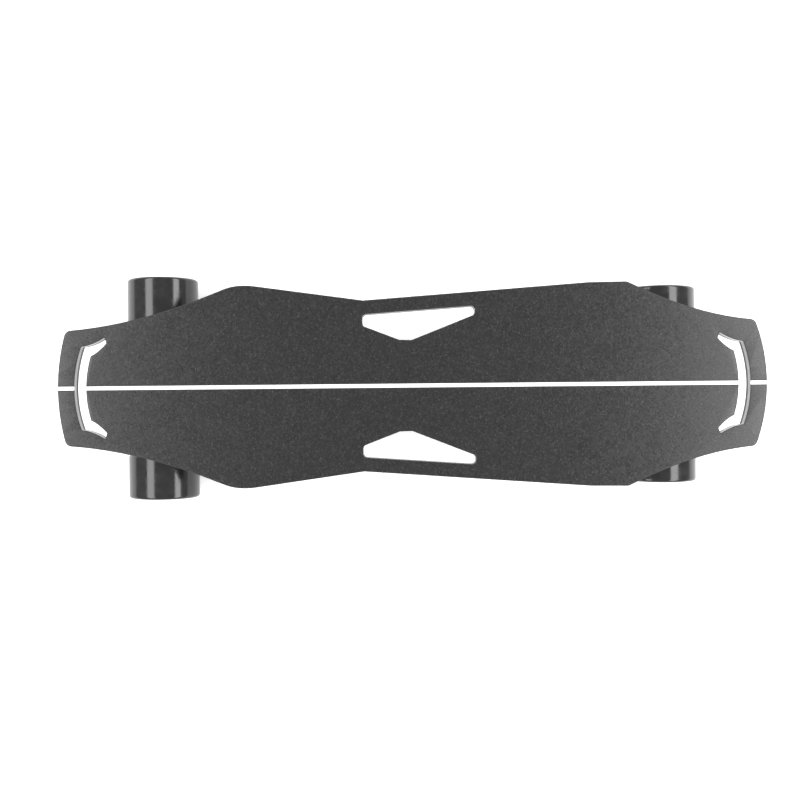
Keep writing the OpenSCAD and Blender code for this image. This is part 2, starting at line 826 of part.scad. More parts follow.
// Axle beam, web, ring and nose. shoulder is [radius, length] of each end.
module hanger(half, mid_r, end_r, shoulder, bore_r) {
    web_w = 14;
    difference() {
        union() {
            for (side = [-1, 1])
                rotate([-90 * side, 0, 0]) {
                    cylinder(r = mid_r, h = 20);
                    translate([0, 0, 20]) cylinder(r1 = mid_r, r2 = end_r, h = half - shoulder[1] - 20);
                    translate([0, 0, half - shoulder[1]]) cylinder(r = shoulder[0], h = shoulder[1]);
                }
            rotate([90, 0, 0])
                linear_extrude(web_w, center = true)
                    polygon([[-14, -2], [2, -11], [12, -2], [15, 20], [14, 30], [8, 39], [1, 30], [-2, 22],
                        [-22, 14]]);
            along_kingpin(-ring_h / 2) cylinder(r = ring_r, h = ring_h);
            along_pivot(nose_s) cylinder(r = nose_r, h = cup_s + cup_bore - 0.5 - nose_s);
        }
        along_kingpin(-ring_h) cylinder(r = kingpin_r + 3, h = 2 * ring_h);
        along_kingpin(ring_h / 2) cylinder(r = bushing_r + 3, h = upper_bushing_h + 6);
        along_kingpin(-ring_h / 2 - 40) cylinder(r = bushing_r + 3.5, h = 40);
        rotate([90, 0, 0]) cylinder(r = bore_r, h = 2 * half + 2 * cut, center = true);
    }
}

// ---------------------------------------------------------------- front wheels and axle

axle_r = axle_d / 2;
bearing_r = 11;
bearing_t = 7;
inner_recess = 6;           // from the wheel's inner face to its bearing
outer_recess = 12;          // from the wheel's outer face to its bearing
front_inner_y = front_track / 2 - wheel_w;
rear_inner_y = rear_track / 2 - wheel_w;
speed_washer_t = 1;
axle_nut_h = 6;
front_half = front_inner_y + inner_recess - gap - speed_washer_t;
front_nut_y = front_track / 2 - outer_recess + gap;

// z runs from the wheel's inner face, which is at 0, to its outer face
module at_wheel(end, side) {
    inner_y = end > 0 ? front_inner_y : rear_inner_y;
    translate([end * wheelbase / 2, side * inner_y, axle_z]) rotate([-90 * side, 0, 0]) children();
}

module front_hanger() {
    color("darkgray") at_truck(1) hanger(front_half, 13, 10.5, [7.5, 9], axle_r + fit);
}

module front_axle() {
    color("silver")
        translate([wheelbase / 2, 0, axle_z])
            rotate([90, 0, 0]) cylinder(r = axle_r, h = front_track - 6, center = true);
}

// Axle nut, outer washer and inner washer of each front wheel
module front_axle_nuts() {
    color("silver")
        for (side = [-1, 1])
            translate([wheelbase / 2, 0, axle_z])
                rotate([-90 * side, 0, 0]) {
                    translate([0, 0, front_half]) hollow(6.5, axle_r + fit, speed_washer_t, 64);
                    translate([0, 0, front_nut_y]) hollow(6.5, axle_r + fit, speed_washer_t, 64);
                    translate([0, 0, front_nut_y + speed_washer_t]) hollow(7.5, axle_r + fit, axle_nut_h, 6);
                }
}

// Ring with rounded outer edges
module tyre(r_in) {
    r_out = wheel_d / 2;
    rotate_extrude($fn = 128)
        intersection() {
            translate([r_in, 0]) square([r_out, wheel_w]);
            union() {
                translate([r_in, 0]) square([r_out - wheel_lip - r_in, wheel_w]);
                translate([r_in, wheel_lip]) square([r_out - r_in, wheel_w - 2 * wheel_lip]);
                for (z = [wheel_lip, wheel_w - wheel_lip])
                    translate([r_out - wheel_lip, z]) circle(r = wheel_lip);
            }
        }
}

module wheel_core() {
    middle_r = 8.5;
    rim_t = 5;
    spokes = 5;
    difference() {
        translate([0, 0, 1]) cylinder(r = core_r, h = wheel_w - 2);
        // open faces around the hub
        for (z = [0, wheel_w - outer_recess])
            translate([0, 0, z == 0 ? -cut : z])
                cylinder(r = core_r - rim_t, h = (z == 0 ? inner_recess : outer_recess) + cut);
        // bearing seats and the way between them
        translate([0, 0, -cut]) cylinder(r = bearing_r + fit, h = inner_recess + bearing_t + cut);
        translate([0, 0, wheel_w - outer_recess - bearing_t])
            cylinder(r = bearing_r + fit, h = outer_recess + bearing_t + cut);
        cylinder(r = middle_r, h = wheel_w);
        // windows between the spokes
        for (i = [0 : spokes - 1])
            rotate([0, 0, i * 360 / spokes])
                translate([0, 0, -cut])
                    rotate_extrude(angle = 360 / spokes - 26)
                        translate([bearing_r + 3, 0])
                            square([core_r - rim_t - 1 - bearing_r - 3, wheel_w + 2 * cut]);
    }
}

module front_bearings() {
    inner_race = axle_r + 2;
    for (z = [inner_recess, wheel_w - outer_recess - bearing_t])
        translate([0, 0, z])
            difference() {
                hollow(bearing_r, axle_r + fit, bearing_t, 64);
                for (face = [-cut, bearing_t - 0.6])
                    translate([0, 0, face])
                        difference() {
                            cylinder(r = bearing_r - 1.8, h = 0.6 + cut);
                            translate([0, 0, -cut]) cylinder(r = inner_race, h = 4 * cut);
                        }
            }
    translate([0, 0, inner_recess + bearing_t])
        hollow(inner_race, axle_r + fit, wheel_w - outer_recess - inner_recess - 2 * bearing_t, 64);
}

module front_left_tyre() { color([0.1, 0.1, 0.1]) at_wheel(1, 1) tyre(core_r); }
module front_right_tyre() { color([0.1, 0.1, 0.1]) at_wheel(1, -1) tyre(core_r); }
module front_left_core() { color([0.2, 0.2, 0.2]) at_wheel(1, 1) wheel_core(); }
module front_right_core() { color([0.2, 0.2, 0.2]) at_wheel(1, -1) wheel_core(); }
module front_left_bearings() { color("silver") at_wheel(1, 1) front_bearings(); }
module front_right_bearings() { color("silver") at_wheel(1, -1) front_bearings(); }

// ---------------------------------------------------------------- rear wheels with hub motors

motor_axle_r = motor_axle_d / 2;
can_t = 4;
cover_disc_t = 2.5;
cover_in = 0.5;              // from the wheel's face to the motor cover
magnet_t = 2.4;
air_gap = 0.5;
stack_l = 26;                // length of the stator and the magnets
stack_z = (wheel_w - stack_l) / 2;
stator_r = can_r - can_t - magnet_t - air_gap;
teeth = 12;
tooth_w = 5;
yoke_r = 12;
motor_bearing_r = 12;
motor_bearing_t = 6;
motor_screws = 6;
motor_screw_r = can_r - can_t / 2;
motor_head_r = 1.6;
rear_half = rear_inner_y - 3;
axle_root_y = 34;            // inner end of a motor axle in the hanger
axle_tip = wheel_w - cover_in - cover_disc_t - 1;

module rear_hanger() {
    color("darkgray")
        at_truck(-1)
            difference() {
                hanger(rear_half, 14, 12.5, [12.5, 14], motor_axle_r + fit);
                // cable ports on the inboard side
                for (side = [-1, 1])
                    translate([0, side * cable_port_y, 0])
                        rotate([0, -90, 0]) cylinder(r = cable_r + fit, h = 30);
            }
}

module rear_axles() {
    color("silver")
        for (side = [-1, 1])
            translate([-wheelbase / 2, 0, axle_z])
                rotate([-90 * side, 0, 0])
                    translate([0, 0, axle_root_y])
                        hollow(motor_axle_r, 3, rear_inner_y + axle_tip - axle_root_y, 64);
}

module stator() {
    slot_open = 2.2;
    shoe_t = 2;
    translate([0, 0, stack_z])
        difference() {
            union() {
                cylinder(r = yoke_r, h = stack_l);
                for (i = [0 : teeth - 1])
                    rotate([0, 0, i * 360 / teeth])
                        translate([yoke_r - 1, -tooth_w / 2, 0])
                            cube([stator_r - yoke_r - 0.5, tooth_w, stack_l]);
                difference() {
                    cylinder(r = stator_r, h = stack_l);
                    translate([0, 0, -cut]) cylinder(r = stator_r - shoe_t, h = stack_l + 2 * cut);
                    for (i = [0 : teeth - 1])
                        rotate([0, 0, (i + 0.5) * 360 / teeth])
                            translate([yoke_r, -slot_open / 2, -cut])
                                cube([stator_r, slot_open, stack_l + 2 * cut]);
                }
            }
            translate([0, 0, -cut]) cylinder(r = motor_axle_r + fit, h = stack_l + 2 * cut);
        }
}
module stators() { color("slategray") for (side = [-1, 1]) at_wheel(-1, side) stator(); }

// One coil around each tooth
module coils() {
    coil_angle = 360 / teeth - 3;
    coil_in = yoke_r + 1;
    coil_out = stator_r - 2.5;
    end_turn = 2;
    for (i = [0 : teeth - 1])
        rotate([0, 0, i * 360 / teeth])
            difference() {
                rotate([0, 0, -coil_angle / 2])
                    rotate_extrude(angle = coil_angle)
                        translate([coil_in, stack_z - end_turn])
                            square([coil_out - coil_in, stack_l + 2 * end_turn]);
                translate([coil_in - cut, -tooth_w / 2 - fit, stack_z - fit])
                    cube([coil_out - coil_in + 2 * cut, tooth_w + 2 * fit, stack_l + 2 * fit]);
            }
}
module windings() { color("peru") for (side = [-1, 1]) at_wheel(-1, side) coils(); }

module motor_screw_spots() {
    for (i = [0 : motor_screws - 1])
        rotate([0, 0, i * 360 / motor_screws]) translate([motor_screw_r, 0, 0]) children();
}

module rotor_can() {
    can_z = cover_in + cover_disc_t;
    difference() {
        translate([0, 0, can_z]) hollow(can_r - fit, can_r - can_t, wheel_w - 2 * can_z, 128);
        for (z = [can_z - cut, wheel_w - can_z - 6])
            translate([0, 0, z]) motor_screw_spots() cylinder(r = 1 + fit, h = 6 + cut);
    }
}

module magnet_ring() {
    magnets = 20;
    r_in = can_r - can_t - magnet_t;
    for (i = [0 : magnets - 1])
        rotate([0, 0, i * 360 / magnets])
            rotate_extrude(angle = 360 / magnets - 2)
                translate([r_in, stack_z]) square([magnet_t - fit, stack_l]);
}

// Disc with a spigot for the bearing; drawn with its outer face at 0 and the motor above it
module motor_cover(closed) {
    spigot_h = 3;
    difference() {
        union() {
            cylinder(r = can_r - fit, h = cover_disc_t);
            cylinder(r = can_r - can_t - fit, h = cover_disc_t + 1);
            cylinder(r = motor_bearing_r + 3, h = cover_disc_t + spigot_h + 1.5);
        }
        translate([0, 0, 1]) cylinder(r = motor_bearing_r + fit, h = 20);
        if (!closed) translate([0, 0, -cut]) cylinder(r = motor_axle_r + 1.5, h = 10);
        motor_screw_spots() {
            translate([0, 0, -cut]) cylinder(r = 1 + fit, h = 10);
            translate([0, 0, -cut]) cylinder(r = motor_head_r + fit, h = 1.3 + cut);
        }
    }
}
module motor_covers() {
    translate([0, 0, cover_in]) motor_cover(false);
    translate([0, 0, wheel_w - cover_in]) mirror([0, 0, 1]) motor_cover(true);
}

module motor_bearings() {
    for (z = [cover_in + 1, wheel_w - cover_in - 1 - motor_bearing_t])
        translate([0, 0, z]) hollow(motor_bearing_r, motor_axle_r + fit, motor_bearing_t, 64);
}

module motor_cover_screws() {
    screw_l = 6;
    for (flip = [0, 1])
        translate([0, 0, flip ? wheel_w - cover_in : cover_in])
            mirror([0, 0, flip])
                motor_screw_spots()
                    difference() {
                        union() {
                            translate([0, 0, 0.1]) cylinder(r = motor_head_r, h = 1.2);
                            translate([0, 0, 0.1]) cylinder(r = 1, h = screw_l);
                        }
                        translate([0, 0, -cut]) cylinder(r = 0.8, h = 0.7 + cut, $fn = 6);
                    }
}

module rear_left_tyre() { color([0.1, 0.1, 0.1]) at_wheel(-1, 1) tyre(can_r); }
module rear_right_tyre() { color([0.1, 0.1, 0.1]) at_wheel(-1, -1) tyre(can_r); }
module rear_left_rotor() { color("gray") at_wheel(-1, 1) rotor_can(); }
module rear_right_rotor() { color("gray") at_wheel(-1, -1) rotor_can(); }
module rear_left_magnets() { color("lightgray") at_wheel(-1, 1) magnet_ring(); }
module rear_right_magnets() { color("lightgray") at_wheel(-1, -1) magnet_ring(); }
module rear_left_covers() { color("black") at_wheel(-1, 1) motor_covers(); }
module rear_right_covers() { color("black") at_wheel(-1, -1) motor_covers(); }
module rear_left_bearings() { color("silver") at_wheel(-1, 1) motor_bearings(); }
module rear_right_bearings() { color("silver") at_wheel(-1, -1) motor_bearings(); }
module rear_left_cover_screws() { color("silver") at_wheel(-1, 1) motor_cover_screws(); }
module rear_right_cover_screws() { color("silver") at_wheel(-1, -1) motor_cover_screws(); }

// ---------------------------------------------------------------- motor cables

cable_r = 2.5;
cable_port_y = 25;
cable_sides = 8;
// Route of the left cable: x inboard from the rear axle, y out, z up from the axle; ends up in the cover
cable_route = [[9, 25, 0], [16, 25, 0], [22, 25, 1], [28, 25, 3.5], [34, 24.5, 7.5], [40, 24, 13],
    [45, 23, 20], [49, 22, 28], [52, 21, 36], [53.5, 20.3, 44], [54, 20, 51], [54, 20, 58], [54, 20, 65]];

function unit(v) = v / norm(v);
function route_dir(p, i) = unit(p[min(i + 1, len(p) - 1)] - p[max(i - 1, 0)]);
// Rings of a round tube: across is square to the route and to the board's Y axis
function tube_points(p, r, n) = [for (i = [0 : len(p) - 1])
    let (d = route_dir(p, i), across = unit(cross(d, [0, 1, 0])), up = cross(across, d))
    for (k = [0 : n - 1]) p[i] + r * (cos(k * 360 / n) * across + sin(k * 360 / n) * up)];
function tube_faces(rings, n) = concat(
    [[for (k = [0 : n - 1]) k]],
    [for (i = [0 : rings - 2], k = [0 : n - 1])
        [i * n + k, (i + 1) * n + k, (i + 1) * n + (k + 1) % n, i * n + (k + 1) % n]],
    [[for (k = [n - 1 : -1 : 0]) (rings - 1) * n + k]]);

module motor_cables() {
    color("black")
        translate([-wheelbase / 2, 0, axle_z])
            for (side = [-1, 1])
                mirror([0, side < 0 ? 1 : 0, 0])
                    polyhedron(tube_points(cable_route, cable_r, cable_sides),
                        tube_faces(len(cable_route), cable_sides), convexity = 6);
}

module cable_grommets() {
    color([0.05, 0.05, 0.05])
        for (side = [-1, 1])
            translate([-grommet_x, side * grommet_y, cover_z])
                difference() {
                    union() {
                        translate([0, 0, -1.5]) cylinder(r = grommet_r + 1.5, h = 1.5);
                        cylinder(r = grommet_r, h = cover_t);
                    }
                    translate([0, 0, -3]) cylinder(r = cable_r + fit, h = 20);
                }
}

// ---------------------------------------------------------------- nodes

deck_plate();
grip_left();
grip_right();
centre_stripe();
bottom_cover();
cover_screws();
battery_tray();
controller_tray();
tray_gaskets();
tray_screws();
battery_cells();
cell_holders();
bms_board();
controller_board();
controller_parts();
heat_sink();
power_harness();
charge_socket();
charge_cap();
cap_pin();
power_button();
button_bezel();
button_spring();
level_lens();
riser_pads();
front_baseplate();
rear_baseplate();
kingpins();
kingpin_nuts();
pivot_cups();
truck_bolts();
front_bushings();
rear_bushings();
front_hanger();
rear_hanger();
front_axle();
front_axle_nuts();
front_left_tyre();
front_left_core();
front_left_bearings();
front_right_tyre();
front_right_core();
front_right_bearings();
rear_axles();
stators();
windings();
motor_cables();
cable_grommets();
rear_left_tyre();
rear_left_rotor();
rear_left_magnets();
rear_left_covers();
rear_left_bearings();
rear_left_cover_screws();
rear_right_tyre();
rear_right_rotor();
rear_right_magnets();
rear_right_covers();
rear_right_bearings();
rear_right_cover_screws();
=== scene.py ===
# %% [markdown]
# # A low electric skateboard
# The board is a flat, waisted deck on two steering trucks. Two plain wheels run in front and two hub-motor
# wheels drive at the back. The frame already holds every part at its true size and place, so this lesson is
# about looks: which edges catch the light, how a casting gets its soft corners, and what each finish is
# made of. Everything is in metres, +X points to the front of the board, +Y to the rider's left and +Z up.

# %% Load the frame
import json
import math
import bmesh
import bpy
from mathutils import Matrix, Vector


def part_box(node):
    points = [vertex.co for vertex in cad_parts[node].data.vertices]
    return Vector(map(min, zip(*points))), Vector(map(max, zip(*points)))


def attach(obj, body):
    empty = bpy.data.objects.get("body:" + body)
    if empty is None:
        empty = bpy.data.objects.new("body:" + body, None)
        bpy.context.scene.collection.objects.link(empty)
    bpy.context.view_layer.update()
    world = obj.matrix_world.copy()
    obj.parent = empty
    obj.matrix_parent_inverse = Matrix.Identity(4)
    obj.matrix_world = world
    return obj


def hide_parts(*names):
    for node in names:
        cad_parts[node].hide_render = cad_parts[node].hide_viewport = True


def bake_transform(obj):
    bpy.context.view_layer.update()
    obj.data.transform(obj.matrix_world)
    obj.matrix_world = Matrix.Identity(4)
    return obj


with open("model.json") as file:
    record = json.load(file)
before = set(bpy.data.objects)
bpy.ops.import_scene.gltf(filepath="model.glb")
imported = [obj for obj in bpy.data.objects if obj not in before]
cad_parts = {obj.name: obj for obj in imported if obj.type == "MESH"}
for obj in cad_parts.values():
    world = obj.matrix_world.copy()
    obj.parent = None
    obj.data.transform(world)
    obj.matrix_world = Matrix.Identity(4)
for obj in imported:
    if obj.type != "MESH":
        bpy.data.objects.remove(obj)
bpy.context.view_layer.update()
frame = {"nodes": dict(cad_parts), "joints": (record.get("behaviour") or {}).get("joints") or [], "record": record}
nodes = frame["nodes"]
record = frame["record"]
mm = 0.001
touch = 0.01 * mm  # two points this near count as one, or as one height
print("nodes in the frame:", len(nodes))

# %% [markdown]
# ## Where things are
# Positions come from the frame and never from a ruler held against the render. A joint knows the point it
# turns about, and a node's box knows how far it reaches. We look both up once and keep them under plain
# names.

# %% Bodies, joints and heights
body_of = {node: body for body, members in record["behaviour"]["bodies"].items() for node in members}
slot_of = {part["node"]: part["material_slot"] for part in record["subparts"]}
joint = {entry["name"]: entry for entry in frame["joints"]}
front_axle = Vector((joint["front_left_spin"]["pos_m"][0], 0, joint["front_left_spin"]["pos_m"][2]))
rear_axle = Vector((joint["rear_left_spin"]["pos_m"][0], 0, joint["rear_left_spin"]["pos_m"][2]))
deck_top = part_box("grip_left")[1].z
wheel_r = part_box("front_left_tyre")[1].z - front_axle.z
print("axles at x", round(front_axle.x / mm), "and", round(rear_axle.x / mm), "mm")
print("wheel radius in mm:", round(wheel_r / mm, 1))

# %% [markdown]
# ## Camera
# The board is seen from straight above, a little over a metre away, so the perspective still shows the
# inner walls of the handle slots. A lens follows from the distance and the width of the field at the deck's
# top.

# %% Camera
view_distance = 1.2
field_width = 0.9021
camera_x = -0.0142
camera_y = -0.0162
camera_roll = math.radians(-0.52)
camera_data = bpy.data.cameras.new("camera")
camera_data.sensor_width = 36
camera_data.lens = camera_data.sensor_width * view_distance / field_width
camera = bpy.data.objects.new("camera", camera_data)
camera.location = (camera_x, camera_y, deck_top + view_distance)
camera.rotation_euler = (0, 0, camera_roll)
bpy.context.scene.collection.objects.link(camera)
bpy.context.scene.camera = camera
print("lens in mm:", round(camera_data.lens, 1))

# %% [markdown]
# ## Light
# Glossy black wheels show the lamps as bright streaks along their width, so the lamps are two long soft
# strips that lie across the board, one past each end and quite near. A near lamp is also mirrored by the
# gritted deck, at the tips most of all, and so the deck grows lighter from its middle to its ends. Each
# strip is placed by its upper and lower edge, seen in a section along the board. A pale surround fills the
# shadows. The floor lets a view from below through, because a lamp-lit floor would otherwise hide the
# underside.

# %% Strips, surround and floor
surround_tone = (0.93, 0.93, 0.93, 1)
surround_strength = 0.7
strip_length = 2.4
floor_size = 30
scene = bpy.context.scene
scene.view_settings.view_transform = "Standard"
world = bpy.data.worlds.new("surround")
world.use_nodes = True
world.node_tree.nodes["Background"].inputs["Color"].default_value = surround_tone
world.node_tree.nodes["Background"].inputs["Strength"].default_value = surround_strength
scene.world = world


def strip(name, upper, lower, radiance):
    """A long soft lamp across the board, from its upper to its lower edge, each given as (x, z)."""
    across = Vector((lower[0] - upper[0], 0, lower[1] - upper[1]))
    facing = Vector((across.z, 0, -across.x)).normalized()
    if facing.x * upper[0] > 0:
        facing.negate()
    lamp = bpy.data.lights.new(name, "AREA")
    lamp.shape = "RECTANGLE"
    lamp.size = across.length
    lamp.size_y = strip_length
    lamp.energy = radiance * math.pi * lamp.size * lamp.size_y
    holder = bpy.data.objects.new(name, lamp)
    holder.location = ((upper[0] + lower[0]) / 2, 0, (upper[1] + lower[1]) / 2)
    holder.rotation_euler = (0, math.atan2(-facing.x, -facing.z), 0)
    scene.collection.objects.link(holder)
    print(name, "faces", [round(c, 2) for c in facing], "and is", round(across.length, 2), "m wide")


strip("front_strip", upper=(0.63, 0.97), lower=(0.86, 0.62), radiance=6.5)
strip("rear_strip", upper=(-0.76, 1.21), lower=(-1.02, 0.77), radiance=5.5)
bpy.ops.mesh.primitive_plane_add(size=floor_size)
floor = bpy.context.object
floor.name = "floor"

# %% [markdown]
# ## Writing a material as sums
# A shader is a graph of nodes, but most of it is arithmetic, and arithmetic reads best as arithmetic. A
# Value wraps one socket, and its operators add Math nodes, so 1 - mask is written just so. Anything that
# isn't a sum comes from one method, node(), that takes a node's type, its settings and what goes into its
# sockets.

# %% Values and finishes
class Value:
    """One output of a node. Sums and products of values add Math nodes."""

    def __init__(self, finish, socket):
        self.finish = finish
        self.socket = socket

    def maths(self, operation, *terms):
        return self.finish.node("ShaderNodeMath", {"operation": operation}, dict(enumerate(terms)))

    def __add__(self, other):
        return self.maths("ADD", self, other)

    def __radd__(self, other):
        return self.maths("ADD", other, self)

    def __sub__(self, other):
        return self.maths("SUBTRACT", self, other)

    def __rsub__(self, other):
        return self.maths("SUBTRACT", other, self)

    def __mul__(self, other):
        return self.maths("MULTIPLY", self, other)

    def __rmul__(self, other):
        return self.maths("MULTIPLY", other, self)


class Finish:
    """A material under construction, round one Principled shader."""

    def __init__(self, name, **constants):
        self.material = bpy.data.materials.new(name)
        self.material.use_nodes = True
        self.tree = self.material.node_tree
        self.shader = self.tree.nodes["Principled BSDF"]
        for socket, value in constants.items():
            self.feed(socket.replace("_", " "), value)

    def node(self, kind, settings=None, inputs=None, output=0):
        """Adds a node, applies its settings, fills its sockets and returns one output as a Value."""
        made = self.tree.nodes.new(kind)
        for key, value in (settings or {}).items():
            setattr(made, key, value)
        for key, value in (inputs or {}).items():
            self.fill(made.inputs[key], value)
        return Value(self, made.outputs[output])

    def fill(self, socket, value):
        if isinstance(value, Value):
            self.tree.links.new(value.socket, socket)
        elif socket.type == "RGBA" and len(value) == 3:
            socket.default_value = (*value, 1)
        else:
            socket.default_value = value

    def feed(self, name, value):
        self.fill(self.shader.inputs[name], value)

    # Patterns, by the size of their grain in metres
    def place(self, stretch=(1, 1, 1), centre=(0, 0, 0)):
        """Object coordinates, moved so that centre is at zero, then stretched."""
        here = self.node("ShaderNodeTexCoord", output="Object")
        moved = self.node("ShaderNodeVectorMath", {"operation": "SUBTRACT"}, {0: here, 1: centre})
        return self.node("ShaderNodeVectorMath", {"operation": "MULTIPLY"}, {0: moved, 1: stretch})

    def noise(self, grain, detail=2.0, stretch=(1, 1, 1)):
        return self.node("ShaderNodeTexNoise", {},
                         {"Vector": self.place(stretch), "Scale": 1 / grain, "Detail": detail})

    def cells(self, grain, output, stretch=(1, 1, 1)):
        return self.node("ShaderNodeTexVoronoi", {},
                         {"Vector": self.place(stretch), "Scale": 1 / grain}, output)

    def spread(self, value, low, high, at_low=0.0, at_high=1.0):
        """Maps low..high to at_low..at_high and holds the ends."""
        ends = {"From Min": low, "From Max": high, "To Min": at_low, "To Max": at_high}
        return self.node("ShaderNodeMapRange", {"clamp": True}, {"Value": value, **ends})

    def between(self, factor, first, second):
        """A colour between two colours."""
        return self.node("ShaderNodeMix", {"data_type": "RGBA"}, {0: factor, 6: first, 7: second}, 2)

    def relief(self, height, depth, strength=1.0):
        """Feeds a height of 0..1, depth metres deep, to the shader's normal."""
        self.feed("Normal", self.node("ShaderNodeBump", {},
                                      {"Strength": strength, "Distance": depth, "Height": height}))


print("helpers ready")

# %% [markdown]
# ## The floor's paper
# Plain white paper, lit a little from behind so that it stays white under the board and inside its
# openings. Its back face is clear, so a camera under the floor sees the board's underside.

# %% Floor finish
paper = Finish("floor_paper", Base_Color=(0.9, 0.9, 0.9), Roughness=0.9, Emission_Color=(1, 1, 1),
               Emission_Strength=0.42)
behind = paper.node("ShaderNodeNewGeometry", output="Backfacing")
clear = paper.node("ShaderNodeBsdfTransparent")
both = paper.node("ShaderNodeMixShader", {}, {0: behind, 1: Value(paper, paper.shader.outputs[0]), 2: clear})
paper.tree.links.new(both.socket, paper.tree.nodes["Material Output"].inputs["Surface"])
floor.data.materials.append(paper.material)
print(paper.material.name)

# %% [markdown]
# ## Grit
# The deck's top is covered in hard grains set in a dark resin. Each grain is a Voronoi cell about half a
# millimetre across with a shade of its own, and a second, coarser set of cells gathers them into clumps, as
# a sieve does. Their rounded tops become relief, and a few bare grains are a little lighter. The narrow
# band at the cut edge gets a duller and darker grit, and that darker colour is painted shade for the rolled rim.

# %% Grit finish
grain_size = 0.55 * mm
clump_size = 1.5 * mm
drift_size = 14 * mm
grit_depth = 0.06 * mm


def grit_finish(name, dark, light, bare_tone, rough):
    made = Finish(name, Specular_IOR_Level=0.5)
    grain = made.cells(grain_size, "Distance")
    shade = made.node("ShaderNodeSeparateColor", {}, {0: made.cells(grain_size, "Color")}, 0)
    clump = made.node("ShaderNodeSeparateColor", {}, {0: made.cells(clump_size, "Color")}, 1)
    drift = made.noise(drift_size, 4)
    tone = shade * 0.45 + clump * 0.35 + drift * 0.2
    bare = made.spread(clump * 0.5 + shade * 0.5, 0.8, 0.95)
    made.feed("Base Color", made.between(bare, made.between(tone, dark, light), bare_tone))
    made.feed("Roughness", made.spread(clump * 0.6 + drift * 0.4, 0.2, 0.8, rough - 0.05, rough + 0.07))
    made.relief((1 - grain) + clump * 0.6, grit_depth, 0.4)
    return made.material


grip_top = grit_finish("grip_grit", (0.003, 0.003, 0.0031), (0.018, 0.018, 0.0185), (0.05, 0.05, 0.05), 0.3)
# The rim's grit is darker than the top's: painted shade for the rolled rim that turns away from the lamps.
painted_shade_rim_grit = grit_finish("grip_rim_painted_shade", (0.008, 0.008, 0.008), (0.014, 0.014, 0.014),
                        (0.02, 0.02, 0.02), 0.55)
print(grip_top.name, painted_shade_rim_grit.name)

# %% [markdown]
# ## Metals
# Bare metal is only as interesting as its working marks. A milled wall has upright lines, a turned face has
# rings round its axis, and a plated part has a faint cloudiness. All three are the same idea: a noise
# stretched along the way that the tool moved, used for roughness and for a very shallow relief.

# %% Metal finishes
def milled_finish(name, colour, rough):
    made = Finish(name, Metallic=1.0)
    lines = made.noise(0.5 * mm, 3, (1, 1, 0.06))
    cloud = made.noise(14 * mm, 4)
    dull = tuple(0.82 * c for c in colour)
    made.feed("Base Color", made.between(made.spread(cloud, 0.35, 0.68), dull, colour))
    made.feed("Roughness", made.spread(lines + cloud * 0.5, 0.4, 1.1, rough - 0.06, rough + 0.12))
    made.relief(lines, 0.02 * mm, 0.6)
    return made.material


def turned_finish(name, colour, rough, centre, metallic=1.0, pitch=0.35 * mm):
    """Rings about the Y axis through centre."""
    made = Finish(name, Metallic=metallic)
    spoke = made.place((1, 0, 1), centre)
    radius = made.node("ShaderNodeVectorMath", {"operation": "LENGTH"}, {0: spoke}, "Value")
    cloud = made.noise(5 * mm, 3)
    rings = made.node("ShaderNodeTexNoise", {"noise_dimensions": "1D"},
                      {"W": radius, "Scale": 1 / pitch, "Detail": 3.0})
    dull = tuple(0.7 * c for c in colour)
    made.feed("Base Color", made.between(made.spread(rings * 0.6 + cloud * 0.4, 0.35, 0.62), dull, colour))
    made.feed("Roughness", made.spread(rings + cloud * 0.4, 0.4, 1.0, rough - 0.07, rough + 0.12))
    made.relief(rings, 0.03 * mm, 0.5)
    return made.material


def plated_finish(name, colour, rough, metallic=1.0):
    made = Finish(name, Metallic=metallic)
    cloud = made.noise(2.2 * mm, 4)
    fine = made.noise(0.35 * mm, 2)
    dull = tuple(0.72 * c for c in colour)
    made.feed("Base Color", made.between(made.spread(cloud, 0.34, 0.66), dull, colour))
    made.feed("Roughness", made.spread(cloud + fine * 0.4, 0.45, 0.9, rough - 0.07, rough + 0.12))
    made.relief(fine, 0.012 * mm, 0.5)
    return made.material


print("metal finishes ready")

# %% [markdown]
# ## Coatings, castings, plastics and rubber
# A powder coat sets with a skin like orange peel. A sand casting under thin paint is rougher, with small
# pits. Moulded plastic carries the fine spark-eroded grain of its mould, and rubber is soft, matt and a
# little dusty. They share one recipe: a coarse noise for tone, a finer one for relief, each at its own
# scale.

# %% Skinned finishes
def skin_finish(name, colour, rough, grain, depth, tone=0.25, pits=0.0, **constants):
    made = Finish(name, **constants)
    cloud = made.noise(24 * grain, 4)
    fine = made.noise(grain, 2)
    light = tuple(min(1, c * (1 + tone) + 0.004) for c in colour)
    dark = tuple(c * (1 - tone) for c in colour)
    made.feed("Base Color", made.between(made.spread(cloud, 0.32, 0.68), dark, light))
    made.feed("Roughness", made.spread(cloud * 0.6 + fine * 0.4, 0.35, 0.65, rough - 0.06, rough + 0.08))
    height = fine
    if pits > 0:
        pit = made.spread(made.cells(5 * grain, "Distance"), 0.0, 0.3)
        height = fine * (1 - pits) + pit * pits
    made.relief(height, depth, 0.7)
    return made.material


print("skinned finishes ready")
